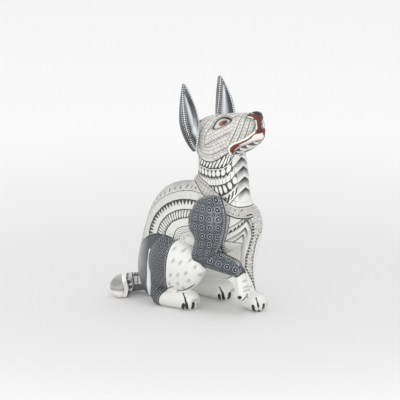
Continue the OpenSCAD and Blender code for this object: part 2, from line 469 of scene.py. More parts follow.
SLANT = (0.766, 0.643)      # the level direction that the forearm's and tail's patterns follow
BODY_STEP = 0.85 * COARSE
LEG_STEP = 0.6 * COARSE
FINE_STEP = 0.5 * COARSE
SEAT_INSET = 1.0      # how far the trunk's filling stays inside a limb
SEAT_REACH = 4.5      # how far from the trunk it goes
HAND_INSET = 0.9      # step from the painted sleeve down to the paw
JOIN_BACK = (8.4, 121.5)
JOIN_FRONT = (62.0, 101.0)


def floored(solid):
    """Keeps what is above the floor, so that soles stay flat."""
    _, _, z = solid.axes()
    solid.value = np.maximum(solid.value, -z).astype(np.float32)
    return solid


def simple_piece(name, step, rounds):
    start, shape = grid_round([name], step)
    solid = solid_of(name, start, shape, step)
    solid.value = blurred(solid.value, rounds)
    return solid


def join_plane(x, z):
    """The distance above the seam between the trunk and the neck."""
    dx = JOIN_FRONT[0] - JOIN_BACK[0]
    dz = JOIN_FRONT[1] - JOIN_BACK[1]
    run = math.hypot(dx, dz)
    return ((z - JOIN_BACK[1]) * dx - (x - JOIN_BACK[0]) * dz) / run


def body_solid():
    """The trunk and head as one carving, its limb seats filled in."""
    names = ["torso", "head"]
    start, shape = grid_round(names, BODY_STEP)
    value = np.minimum(*(solid_of(n, start, shape, BODY_STEP).value for n in names))
    near = value - SEAT_REACH
    for limb in ("foreleg_right", "foreleg_left", "hindleg_right", "hindleg_left"):
        seat = np.maximum(solid_of(limb, start, shape, BODY_STEP).value + SEAT_INSET, near)
        value = np.minimum(value, seat)
    return Solid(blurred(value, 4), start, BODY_STEP)


def limb_distance(name, point):
    """How far each point is from a limb, up to the width of its band."""
    start, shape = grid_round([name], 1.2, 10)
    return solid_of(name, start, shape, 1.2, 8.0).sample(point)


def torso_piece(body):
    x, _, z = body.axes()
    part = Solid(np.maximum(body.value, join_plane(x, z)).astype(np.float32), body.start, body.step)
    made, point = mesh_of("trunk", floored(part))
    flat = point[:, [0, 2]]
    fields = body_fields(point)
    dome = smooth_line(HAUNCH_DOME, closed=True)
    fields["haunch"] = inside(flat, dome)
    fields["strip"] = marks(folded(point), [STRIP])
    fields["arm"] = np.minimum(limb_distance("foreleg_right", point),
                               limb_distance("foreleg_left", point))
    add_fields(made, fields)
    return made


SNOUT_FRONT = ([150, 158, 161, 164.3, 167, 170, 175, 180, 183.5, 186],
               [72, 77.2, 79.4, 80, 79.0, 77.0, 76.0, 76.2, 76.8, 76])


def ellipsoid(solid, middle, radius):
    """A signed distance, close enough near its surface, to an ellipsoid on the solid's grid."""
    x, y, z = solid.axes()
    far = np.sqrt(((x - middle[0]) / radius[0]) ** 2 + ((y - middle[1]) / radius[1]) ** 2
                  + ((z - middle[2]) / radius[2]) ** 2)
    return (far - 1) * min(radius)


def head_piece(body):
    step = FINE_STEP
    start, shape = grid_round(["head"], step)
    fine = solid_of("head", start, shape, step)
    x, _, z = fine.axes()
    grid = np.stack(np.broadcast_arrays(*fine.axes()), axis=-1).reshape(-1, 3)
    below = join_plane(grid[:, 0], grid[:, 2]) < 4
    fine.value = np.maximum(fine.value, (x - np.interp(z, *SNOUT_FRONT)) * 0.9)
    nose = ellipsoid(fine, (72.2, 0, 182.6), (4.8, 5.0, 2.3))
    lip = ellipsoid(fine, (75.4, 0, 162.6), (4.8, 5.6, 3.4))
    fine.value = blurred(np.minimum(np.minimum(fine.value, nose), lip).astype(np.float32), 5)
    flat_value = fine.value.reshape(-1)
    flat_value[below] = body.sample(grid[below])
    fine.value = np.maximum(flat_value.reshape(fine.value.shape), -join_plane(x, z)).astype(np.float32)
    made, point = mesh_of("head_and_neck", fine)
    add_fields(made, body_fields(point))
    add_fields(made, face_fields(point))
    return made


STRIP = ([(-31.4, 25.2, 49), (-34.8, 22.9, 34), (-38.4, 18.3, 23.2), (-40.6, 15.8, 13.2),
          (-42.5, 12, 6), (-44.5, 8, 1)], 0.4, 1.9)
HAUNCH_DOME = [(-6, 20), (-4, 54), (-8, 63), (-14, 65.7), (-21, 65.4), (-31, 63), (-41, 57), (-50, 49),
               (-62, 44), (-66, -6), (-16, -6)]
FACE = [(49.5, 145.5), (41, 138.8), (34.4, 136.3), (26, 136.6), (18, 140), (15, 150), (16, 163),
        (22, 175), (24, 188), (90, 196), (92, 166), (80, 163), (70, 158.4), (60, 154), (54, 151.5),
        (51, 147)]
EYE = [(36.6, 166.6), (36.9, 170.6), (38.2, 174.4), (41.6, 176.9), (47.4, 177.1), (53.2, 176.0),
       (50.9, 172.6), (46.0, 169.6), (40.8, 167.0)]
LIP = [(67.5, 6.4, 180.4), (72.6, 6.2, 180.0), (75.6, 5.2, 177.8), (76.6, 4.6, 174.6), (76.6, 5.0, 171.2),
       (75.6, 7.1, 167.2), (69.4, 9.3, 161.8), (62.2, 11.3, 157.9), (56.2, 12.9, 155.2),
       (52.4, 13.4, 152.0), (50.8, 12.7, 148.4), (51.2, 10.3, 144.6)]
MOUTH = [(80, 171), (76.6, 168.0), (75.2, 165.2), (70.4, 160.4), (61.8, 156.4), (55.8, 154.0),
         (52.8, 150.8), (51.9, 147.8), (52.8, 145.4), (55.4, 148.6), (58.4, 152.0), (64, 154.6),
         (70.0, 157.4), (74, 159.2), (78, 160.8), (84, 161.6)]
LOWER_LIP = [(60, 153.9), (65, 156.6), (70, 159.2), (73.6, 162.4), (75.6, 165.0), (78, 166.2),
             (84, 166.2), (84, 161.4), (78, 160.6), (74, 158.9), (70, 157.2), (64, 154.6)]
NOSE_PATCH = [(-1, 183.4), (5, 183.0), (6.9, 180.6), (4.6, 178.0), (3.0, 174.6), (3.2, 171.4), (5.0, 168),
              (5.6, 165), (3.0, 164.6), (-1, 164.6)]


def face_fields(point):
    flat = point[:, [0, 2]]
    lip_run, offset = along_axis(folded(point), LIP)
    patch = np.stack([np.abs(point[:, 1] + np.interp(point[:, 2], [176, 181], [1.8, 0])), point[:, 2]], 1)
    front = inside(patch, smooth_line(NOSE_PATCH, 2, closed=True))
    front = np.maximum(front, (66.5 + (182 - point[:, 2]) * 0.8).clip(66.5, 74.5) - point[:, 0])
    mouth = inside(flat, smooth_line(MOUTH, 2, closed=True))
    nose = np.linalg.norm((folded(point) - (74.8, 0, 184.6)) / (6.4, 5.2, 2.7), axis=1) - 1
    return {
        "face": inside(flat, smooth_line(FACE, closed=True)),
        "eye": inside(flat, smooth_line(EYE, 2, closed=True)),
        "lip": np.linalg.norm(offset, axis=1),
        "lip_run": lip_run,
        "mouth": np.minimum(mouth, front),
        "nose": nose * 3,
        "lower_lip": inside(flat, smooth_line(LOWER_LIP, 2, closed=True)),
    }


EAR_ROW_OUT = [(10.4, 26.0, 205.6), (10.0, 27.6, 200), (9.4, 27.0, 194.9), (9.6, 26.9, 188),
               (10.6, 26.9, 179.5), (12.0, 27.1, 171), (15.0, 27.8, 164.5), (19.6, 29.2, 158.6),
               (21.6, 27.8, 152.1), (23.0, 25.0, 147.6)]
# lines down the pale middle of each ear: partly airbrushed paint, partly a painted highlight
EAR_HIGHLIGHT_OUT = [(11.2, 26.4, 196.0), (14.0, 26.2, 188.4), (16.8, 26.4, 181.6), (20.0, 27.0, 175.0),
                (23.6, 28.0, 167.0), (25.6, 26.6, 160.9), (26.0, 25.0, 153)]
EAR_ROW_IN = [(10.9, 25.0, 205.8), (11.0, 23.8, 203.2), (10.9, 23.2, 197.6), (10.8, 22.5, 190.6),
              (10.7, 21.8, 184), (10.5, 21.2, 178), (9.9, 20.8, 172.4), (9.4, 20.4, 166)]
EAR_HIGHLIGHT_IN = [(14.6, 23.7, 197.6), (15.5, 23.3, 191.2), (16.4, 22.7, 184.3), (16.9, 22.1, 177.4),
               (17.4, 21.6, 172), (18, 21, 164)]


QUARTER_ROUND = 1.21      # a quarter of the way round an ear, in half widths
HIGHLIGHT_WIDTH = ([0, 9, 24, 32, 42], [0.9, 2.0, 3.8, 3.2, 1.0])


def ear_piece(node, name):
    """An ear, with a number that runs round it: 0 on its front rim, 1 at mid side, 2 on its back rim."""
    solid = simple_piece(node, FINE_STEP, 2)
    made, point = mesh_of(name, solid)
    corner, _ = corners_and_triangles(node)
    level = np.linspace(corner[:, 2].min() + 4, corner[:, 2].max(), 20)
    size = []
    for z in level:
        near = corner[np.abs(corner[:, 2] - z) < 4.5]
        low, high = near.min(0), near.max(0)
        size.append([*(low + high)[:2] / 2, *(high - low)[:2] / 2])
    mx, my, wide, deep = (np.interp(point[:, 2], level, column) for column in np.array(size).T)
    outward = np.sign(my)
    angle = np.arctan2((point[:, 0] - mx) / wide, outward * (point[:, 1] - my) / deep)
    table = np.linspace(-math.pi, math.pi, 181)
    share = arc_on_ellipse(table, 1.0, 0.5) / arc_on_ellipse(np.array([math.pi / 2]), 1.0, 0.5)
    part = np.interp(angle, table, share)
    round_it = np.abs(part - 1)
    round_it = np.where(round_it > 2, 4 - round_it, round_it)
    side = np.abs(point[:, 1]) - np.abs(my)
    rows, airbrush_and_highlights = [], []
    for sign, row, airbrush_and_highlight in ((1, EAR_ROW_OUT, EAR_HIGHLIGHT_OUT), (-1, EAR_ROW_IN, EAR_HIGHLIGHT_IN)):
        away = np.maximum(0, -sign * side)
        run, offset = along_axis(folded(point), row)
        rows.append((np.linalg.norm(offset, axis=1) + away * 2, run))
        # how far from the pale middle, partly airbrushed paint and partly a painted highlight
        run, offset = along_axis(folded(point), airbrush_and_highlight)
        width = np.interp(run, *HIGHLIGHT_WIDTH)
        airbrush_and_highlights.append(np.linalg.norm(offset, axis=1) / width + away)
    first = rows[0][0] < rows[1][0]
    add_fields(made, {
        "round": round_it,
        "quarter": wide * QUARTER_ROUND,
        "row": np.where(first, rows[0][0], rows[1][0]),
        "row_run": np.where(first, rows[0][1], rows[1][1]),
        "airbrush_and_highlight": np.minimum(*airbrush_and_highlights),
    })
    return made


def along_axis(point, axis):
    """For each point: the distance along a line in space, and the offset from it."""
    axis = np.array(axis, float)
    best = np.full(len(point), 1e9)
    along = np.zeros(len(point))
    offset = np.zeros((len(point), 3))
    done = 0.0
    for a, b in zip(axis[:-1], axis[1:]):
        run = np.linalg.norm(b - a)
        step = (b - a) / run
        t = np.clip((point - a) @ step, 0, run)
        off = point - a - t[:, None] * step
        far = np.linalg.norm(off, axis=1)
        closer = far < best
        best = np.where(closer, far, best)
        along = np.where(closer, done + t, along)
        offset[closer] = off[closer]
        done += run
    return along, offset


def arc_on_ellipse(angle, wide, deep):
    """The distance round an ellipse from its flat side to each angle."""
    table = np.linspace(0, math.pi, 200)
    speed = np.hypot(wide * np.cos(table), deep * np.sin(table))
    run = np.concatenate([[0], np.cumsum((speed[1:] + speed[:-1]) / 2 * np.diff(table))])
    return np.sign(angle) * np.interp(np.abs(angle), table, run)


def marks(point, strokes):
    """The distance to the nearest brush stroke, each a line with a radius at each end."""
    best = np.full(len(point), 1e9)
    for line, first, last in strokes:
        along, offset = along_axis(point, line)
        length = sum(math.dist(a, b) for a, b in zip(line[:-1], line[1:]))
        radius = (first + (last - first) * along / length) * 1.15 + 0.25
        best = np.minimum(best, np.linalg.norm(offset, axis=1) - radius)
    return best


def normals(made):
    out = np.zeros(len(made.data.vertices) * 3, np.float32)
    made.data.vertex_normals.foreach_get("vector", out)
    return out.reshape(-1, 3)


def dabs(flat, spots, long=3.0, wide=1.7):
    """How far each flat point is from the nearest slanted dab, in dab widths."""
    best = np.full(len(flat), 9.0)
    for x, z in spots:
        dx, dz = flat[:, 0] - x, flat[:, 1] - z
        p, q = dx * 0.64 + dz * 0.77, dz * 0.64 - dx * 0.77
        best = np.minimum(best, np.hypot(p / long, q / wide))
    return best


UPPER_ARM = [(33.6, -20.5, 103), (36.6, -25, 92), (37.8, -26.6, 83), (39.2, -27, 75), (38.6, -27, 67),
             (35.5, -26.8, 59)]
FOREARM = [(28, -26, 53), (39, -23, 50.2), (52, -19.5, 46.6), (62.6, -16.8, 43.4), (66, -16, 42.4)]
CUFF = [(20, 120), (62, 120), (62, 60), (69, 48.5), (71.6, 44), (71.4, 39.6), (68, 36.2), (62, 36.6),
        (56, 36.5), (48, 36), (20, 40)]
ARM_MARKS = [
    ([(68.2, -21.4, 17.5), (71.3, -21.2, 18.8)], 1.2, 1.2),
    ([(71.6, -20.4, 15.4), (73.0, -19.0, 16.4), (74.9, -17.4, 18.9), (75.4, -15.4, 21.6)], 0.3, 0.3),
    ([(71.6, -20, 13.8), (73.2, -17.2, 14.2)], 0.4, 0.5),
    ([(76.0, -15.4, 15.4), (76.2, -15.2, 18.6)], 0.9, 0.9),
    ([(75.6, -11.0, 15.0), (76.0, -10.6, 18.0)], 0.9, 0.9),
    ([(76.2, -13.2, 14.0), (76.4, -13.0, 22.5)], 0.9, 0.3),
]


def arm_piece():
    """The raised right foreleg, its painted sleeve standing a little proud of the paw."""
    solid = simple_piece("foreleg_right", FINE_STEP, 3)
    x, _, z = solid.axes()
    flat = np.stack(np.broadcast_arrays(x, z), axis=-1)[:, 0].reshape(-1, 2)
    sleeve = smooth_line(CUFF, 2, closed=True)
    away = inside(flat, sleeve).reshape(solid.value.shape[0], 1, solid.value.shape[2])
    solid.value = solid.value + HAND_INSET * ease(away, -0.4, 0.6).astype(np.float32)
    made, point = mesh_of("arm_right", floored(Solid(blurred(solid.value, 1), solid.start, solid.step)))
    _, off = along_axis(point, UPPER_ARM)
    lower, low_off = along_axis(point, FOREARM)
    far_up = np.linalg.norm(off * (0.62, 1, 1), axis=1)
    far_low = np.linalg.norm(low_off, axis=1)
    use_low = far_low * 1.15 < far_up
    s_up = arc_on_ellipse(np.arctan2(off[:, 0] / 19, -off[:, 1] / 11), 19, 11)
    level = point[:, 0] * SLANT[0] + point[:, 1] * SLANT[1] - 4.7
    height = point[:, 2] - 53
    s_low = level * 0.286 + height * 0.958
    v_low = level * 0.958 - height * 0.286
    normal = normals(made)
    rim = (normal[:, 1] - 0.314 * normal[:, 0] + 0.364) * 10
    dots = np.where(point[:, 2] > 96, point[:, 0] * 1.1, point[:, 2])
    dots = np.where(use_low, lower, dots)
    add_fields(made, {
        "ring_u": np.where(use_low, s_low, s_up - 2.2),
        "ring_v": np.where(use_low, v_low - 2.0, 97.2 - point[:, 2]),
        "rim": rim,
        "rim_run": dots,
        "cuff": inside(point[:, [0, 2]], sleeve),
        "mark": marks(point, ARM_MARKS),
        "dab": dabs(point[:, [0, 2]], [(73.9, 28), (72.6, 33.4), (74.6, 25), (64, 30), (66, 23)], 1.7, 1.1),
    })
    return made


LEG_AXIS_Z = [0, 16, 32, 47, 57, 66, 75, 89]
LEG_AXIS_X = [52, 54.6, 52.4, 51, 51, 48, 45, 39]
LEG_AXIS_Y = [10.4, 10.6, 12.2, 15, 19, 22.4, 24.2, 21]
BAND_Z = [10, 18, 25.6, 30.6, 34.7, 38.7, 48, 57, 66, 74, 90]
BAND_IN = [20, 9, -14, -34, -53, -72, -71, -66, -47, -44, -40]
BAND_OUT = [22, 15, 7, 1, -3, -6, -11, -18, -8, 36, 60]
LEG_DABS = [(4, 62), (8, 54), (3, 46), (8, 40), (4, 30), (8, 22), (18, 8)]
LEG_MARKS = [
    ([(68.1, 0.8, 6.3), (66.8, 4.5, 1.3)], 1.15, 1.25),
    ([(74.6, 8.6, 7.1), (73.6, 9.6, 1.5)], 1.15, 1.25),
    ([(68.4, 17.6, 6.3), (67.2, 16.2, 1.3)], 1.1, 1.2),
    ([(69.5, 3.5, 13.8), (72.1, 3.1, 7.9), (69, 8.0, 0.5)], 0.3, 1.25),
    ([(70.5, 13.0, 13.8), (72.8, 14.0, 7.9), (71, 13.6, 0.5)], 0.3, 1.1),
]


def foreleg_piece():
    """The standing left foreleg."""
    made, point = mesh_of("foreleg", floored(simple_piece("foreleg_left", FINE_STEP, 3)))
    x, y, z = point.T
    from_x = x - np.interp(z, LEG_AXIS_Z, LEG_AXIS_X)
    from_y = y - np.interp(z, LEG_AXIS_Z, LEG_AXIS_Y)
    turn = np.degrees(np.arctan2(from_y, from_x))
    reach = math.radians(1) * 7.5
    fields = body_fields(point)
    fields.update({
        "band_in": (turn - np.interp(z, BAND_Z, BAND_IN)) * reach,
        "band_out": (np.interp(z, BAND_Z, BAND_OUT) - turn) * reach,
        "mark": marks(point, LEG_MARKS),
        "dab": dabs(point[:, [1, 2]], LEG_DABS, 1.8, 1.0),
    })
    add_fields(made, fields)
    return made


THIGH_EDGE = [(6, 66), (4.0, 61), (3.0, 57), (2.4, 48), (2.0, 40), (0.8, 31), (-1.2, 22), (-5, 16.5),
              (-9.5, 12), (-12.5, 7), (-14, 0), (-14, -6), (-60, -6), (-60, 66)]
# painted shadow: lines along the creases where the thigh meets the foot
CREASE_SHADOW = [[(-13.6, 12.8), (-10, 15.4), (-2, 18.8), (5.6, 21.8)],
          [(8, 17.8), (11.2, 17.6), (18.1, 20.3), (24.5, 24), (27.0, 25.8)]]
KNEE_DABS = [(7.6, 56.9), (17.4, 56.5), (9.3, 46.7), (17.4, 46), (26.3, 48.9), (31.8, 43.5), (23.2, 37.1),
             (14.4, 34), (6.4, 33.1), (34.8, 36.3), (24.6, 30.1), (12.7, 25.6), (8.0, 17.4), (16, 21.5),
             (29, 57), (2.6, 24), (24, 10)]
HIND_OUTER = [
    ([(16.2, 34.2, 6.3), (12.9, 31.3, 1.0)], 1.15, 1.25),
    ([(13.6, 31.6, 16.1), (17.5, 33.2, 12.1), (19.1, 33.2, 6.6), (17.7, 31.1, 0.6)], 0.3, 1.3),
]
HIND_MARKS = {
    "right": [
        ([(23.4, -28.9, 7.4), (21.4, -27.4, 1.6)], 1.15, 1.25),
        ([(24.6, -24.6, 7.0), (23.2, -24.2, 1.6)], 0.5, 0.5),
        ([(24.4, -22.6, 6.4), (22.8, -22.4, 1.6)], 0.45, 0.45),
        ([(14.6, -17.6, 14.6), (19.2, -17.0, 7.6), (17.6, -18.0, 0.6)], 0.3, 1.1),
        ([(15.0, -15.6, 5.4), (12.6, -17.6, 1.0)], 1.0, 1.0),
    ],
    "left": [
        ([(16.5, 15.6, 6.0), (14.4, 18.6, 1.0)], 1.15, 1.25),
        ([(23.8, 21.8, 7.6), (22, 23, 1.6)], 1.15, 1.25),
        ([(16.2, 16.4, 13.6), (19.8, 16.5, 8.4), (18.9, 19.3, 0.6)], 0.3, 1.3),
    ],
}


def hindleg_piece(side):
    """A folded hind leg: the dark thigh, the white knee and the foot flat on the floor."""
    node = "hindleg_" + side
    solid = simple_piece(node, LEG_STEP, 4)
    made, point = mesh_of("haunch_" + side, floored(solid))
    flat = point[:, [0, 2]]
    # the distance from the painted shadow lines in the creases
    crease_shadow = np.minimum(*(nearest_on(flat, smooth_line(line))[0] for line in CREASE_SHADOW))
    facing = normals(made)[:, 1] * np.sign(point[:, 1])
    inner_side = np.maximum(21 - np.abs(point[:, 1]), -8 * facing - 1)
    inner_side = inner_side - np.maximum(0, -20 - point[:, 0])
    add_fields(made, {
        "thigh": np.maximum(inside(flat, smooth_line(THIGH_EDGE, 2, closed=True)), inner_side),
        "crease_shadow": crease_shadow + 9 * ((np.abs(normals(made)[:, 1]) < 0.25) | (np.abs(point[:, 1]) < 24)),
        "mark": np.minimum(marks(point, HIND_MARKS[side]), marks(folded(point), HIND_OUTER)),
        "dab": dabs(flat, KNEE_DABS) + 9 * (np.abs(point[:, 1]) < 22),
    })
    return made


def tail_piece():
    return mesh_of("curled_tail", floored(simple_piece("tail", FINE_STEP, 2)))[0]


# ---------------------------------------------------------------- paints


def bands_paint(p):
    """The rings of fine strokes on the flanks."""
    ring = p.field("ring")
    turn = p.field("turn")
    wob = p.noise(6.0, 1.0) - 0.5
    ring = ring + wob * 1.2
    u = turn * 33.0 + p.noise(2.5, 1.0, 0.5, None, 30) * 1.2
    p.lay(ring.between(20.8, 62.0) * 0.45, (196, 196, 192))
    # inner field of small slanted strokes
    stroke = (turn * 12 + ring * 0.7).saw(2.3).below(0.34, 0.3) * ring.between(8.8, 12.4)
    p.lay(stroke * 0.9, INK)
    stroke = (turn * 8 - ring * 0.5).saw(2.1).below(0.3, 0.3) * ring.between(3.8, 7.4)
    p.lay(stroke * 0.85, INK)
    p.lay(ring.line(0.5, 8.4), SLATE)
    # plain sponged band
    sponge = stipple(p, 0.7, 0.50)
    p.lay(ring.between(13.5, 20.8) * sponge * 0.5, (178, 178, 174))
    p.lay(ring.between(36.7, 44.2) * sponge * 0.6, (164, 164, 160))
    p.lay(ring.between(44.2, 62.0) * sponge * 0.75, (150, 151, 150))
    p.lay(ring.line(0.75, 13.5), INK)
    # feathers
    zone = ring.between(20.8, 28.3)
    gaps = zone * (1.0 - leaves(u - ring * 0.35, ring, 3.2, 20.9, 28.4, 0.37))
    p.lay(gaps, INK)
    p.lay(zone * ring.ramp(24, 28.3) * 0.3, GREY)
    p.lay(ring.line(0.8, 20.8), INK)
    p.lay(ring.line(0.8, 28.3), INK)
    # teeth
    p.lay(ring.between(28.3, 36.7) * ring.ramp(31, 36.7) * 0.35, GREY)
    fang = teeth(u * 1.12, 36.7 - ring, 3.3, 4.6)
    p.lay(fang, INK)
    p.lay(ring.line(1.2, 36.8), INK)
    # ridge
    p.lay(ring.line(0.5, 44.2), INK)
    dash = (turn * 44).saw(4.8).below(0.5) * ring.between(46, 48.6)
    p.lay(dash * 0.85, INK)
    airy = ring.ramp(45.5, 52.5)
    p.lay(airy * 0.8 * p.noise(14.0, 2.0).ramp(0.25, 0.7), (142, 144, 144))


def collar_paint(p):
    """The raised collar: white rims round a row of sponged cells."""
    low = p.field("collar_low")
    top = p.field("collar_top")
    over = low.above(0) * top.below(0)
    p.lay(over, CREAM)
    cells = low.above(1.5) * top.below(-1.5)
    p.lay(cells * stipple(p, 0.6, 0.50) * 0.75, (144, 138, 134))
    u = p.x * 1.2 - p.z * 0.3
    cross = u.saw(4.6)
    p.lay(cross.below(0.2) * cells * 0.6, SLATE)
    rim = low.line(0.35, 1.5).most(top.line(0.35, -1.5))
    p.lay(rim * 0.55, GREY)
    tick = cross.below(0.42) * (low.between(1.6, 2.8) + top.between(-2.8, -1.6))
    p.lay(tick.unit() * 0.9, INK)
    p.lay(low.line(1.1, -0.2), BLACK)
    p.lay(top.line(0.8, 0.2), INK)


def neck_paint(p):
    """Bands of leaves and teeth that rise to chevrons down the front of the neck."""
    w = p.field("neck") + (p.noise(6.0, 1.0) - 0.5) * 0.8
    u = p.field("round") + (p.noise(2.5, 1.0, 0.5, None, 30) - 0.5) * 1.0
    # slanted leaves on a dark ground
    zone = w.between(130.3, 138.8)
    p.lay(zone * (1.0 - leaves(u + w * 0.8, w, 3.7, 130.5, 138.8, 0.32)), INK)
    # a row of dark waisted shapes
    zone = w.between(122.8, 130.3)
    hour = (u.saw(4.6) - abs(w - 125.6) * 0.36).below(0.25) * w.between(123, 129)
    p.lay(zone * hour * 0.95, INK)
    # feathers with short teeth over them
    zone = w.between(115.0, 122.8)
    gaps = (u + 1.5).saw(3.1).below(0.2, 0.3) * 0.85
    p.lay(zone * gaps, SLATE)
    p.lay(zone * teeth(u, 122.8 - w, 3.1, 2.8), INK)
    # leaves on a dark ground
    zone = w.between(105.6, 115.0)
    p.lay(zone * (1.0 - leaves(u - w * 0.25, w, 3.6, 106.4, 114.6, 0.33)), INK)
    # short strokes
    zone = w.between(96.4, 105.6)
    stroke = leaves(u + w * 0.25, w, 2.8, 97.4, 103.4, 0.3)
    p.lay(zone * stroke, INK)
    # last feathers
    zone = w.below(95.8)
    p.lay(zone * (u + 1.6).saw(3.4).below(0.2, 0.3) * 0.7, GREY)
    for at in (95.8, 105.6, 115.0, 122.8, 130.4):
        p.lay(w.ramp(at - 3.4, at) * w.below(at) * 0.35, GREY)
        p.lay(w.line(0.85, at), INK)
    # chevrons
    front = p.field("round").below(6.4, 1.2)
    under = p.keep()
    p.lay(front, WHITE)
    focus = p.field("round").ramp(8.5, 0.0)
    for at, gap in ((122.8, 7.8), (115.0, 9.4), (105.6, 9.8), (95.8, 8.0)):
        shade = w.ramp(at - gap * 0.85, at) * w.below(at)
        p.lay(shade * (0.45 + focus) * front, INK)
    p.merge(under, front)


def trunk_paint():
    p = Paint("trunk paint", WHITE)
    bands_paint(p)
    chest_paint(p)
    haunch_paint(p)
    under = p.keep()
    neck_paint(p)
    p.merge(under, p.field("collar_top").above(0))
    collar_paint(p)
    return p.finish()


def chest_paint(p):
    front = p.x.above(47.0)
    under = p.keep()
    p.lay(front, WHITE)
    side = abs(p.y + 3.7)
    peak = p.z + side * 1.2
    for at, deep in ((92.0, 4.5), (86.0, 3.0), (78.6, 4.5), (72.0, 3.5)):
        shade = peak.ramp(at - deep, at) * peak.below(at)
        p.lay(shade * (0.3 + side.ramp(9, 0)), INK)
        p.lay(peak.line(0.8, at), INK)
    p.lay(teeth(side * 1.4, peak - 86.2, 2.8, 3.2), INK)
    lowest = p.z - 61.5 - abs(p.y - 3) * 0.25
    p.lay(lowest.below(0), WHITE)
    p.lay(lowest.line(0.6), INK)
    arm = p.field("arm")
    border = arm.below(3.6) * p.z.above(50)
    p.lay(border, MIST)
    p.lay(border * stipple(p, 0.8, 0.5) * 0.8, (96, 98, 100))
    p.lay(arm.line(0.6, 3.6), SLATE)
    p.merge(under, front)


def haunch_paint(p):
    belly = 17 - abs(p.y) - (-22 - p.x).most(0)
    zone = p.field("haunch").most(belly) + (p.noise(7.0, 1.0) - 0.5) * 0.8
    under = p.keep()
    p.lay(zone.below(0), (74, 77, 81))
    # the rump paler towards its back edge and upward: partly airbrushed paint, partly a painted highlight
    light = p.x.ramp(-34.0, -52.0) * p.z.ramp(6, 34)
    p.lay(light * 0.9, (188, 189, 190))
    p.lay(stipple(p, 0.9, 0.55) * 0.25, SLATE)
    p.lay(zone.line(1.0, -0.9, 0.8) * 0.8, INK)
    p.merge(under, zone.below(0))
    p.lay(p.field("strip").below(0, 0.5), (244, 244, 246))
    low = (p.z.below(26) * p.x.above(-28)).most(p.z.below(37) * p.x.above(-12))
    low = low.most(p.z.below(46) * p.x.above(8))
    p.lay(low, WHITE)


def jaw_paint(p):
    """Rows of dark leaves that hang under the lower lip, over painted shade under the jaw."""
    mouth = p.field("mouth")
    zone = (p.z - p.x * 0.12).above(135.6) * p.x.above(48)
    u = p.x * 0.9 + abs(p.y) * 0.7 + (p.noise(3.0, 1.0) - 0.5) * 1.2
    # painted shade: grey that deepens away from the lower lip, under the jaw towards the throat
    p.lay(zone * mouth.ramp(1.0, 9.0) * 0.35, GREY)
    for at, pitch in ((0.9, 4.6), (5.4, 3.9), (9.6, 4.6), (13.8, 3.9)):
        p.lay(zone * teeth(u + at * 0.6, mouth - at, pitch, 3.7) * 0.92, INK)
        p.lay(zone * mouth.line(0.4, at) * 0.6, SLATE)


def crown_paint(p):
    """Rows of leaves behind the cheeks, from the nape up between the ears."""
    face = p.field("face")
    zone = p.z.above(138.6) * p.x.below(30) * face.above(0)
    u = p.z + p.x * 0.3 + abs(p.y) * 0.25 + (p.noise(3.0, 1.0) - 0.5) * 1.2
    p.lay(zone, WHITE)
    p.lay(zone * (face - 1.0).saw(8.6).ramp(1.6, 4.2) * 0.35, GREY)
    for at in (0.8, 9.4, 18.0):
        leaf = leaves(u + face * 0.4, face, 3.6, at + 0.3, at + 4.6, 0.36)
        p.lay(zone * (1.0 - leaf) * face.between(at, at + 4.8), INK)
        p.lay(zone * teeth(u, face - at - 5.6, 3.6, 2.6), INK)
        p.lay(zone * face.line(0.6, at + 5.2), INK)


def head_paint():
    p = Paint("head paint", WHITE)
    neck_paint(p)
    jaw_paint(p)
    crown_paint(p)
    low = p.field("collar_top")
    under = p.keep()
    collar_paint(p)
    p.merge(under, low.below(0.7))
    face_paint(p)
    return p.finish()


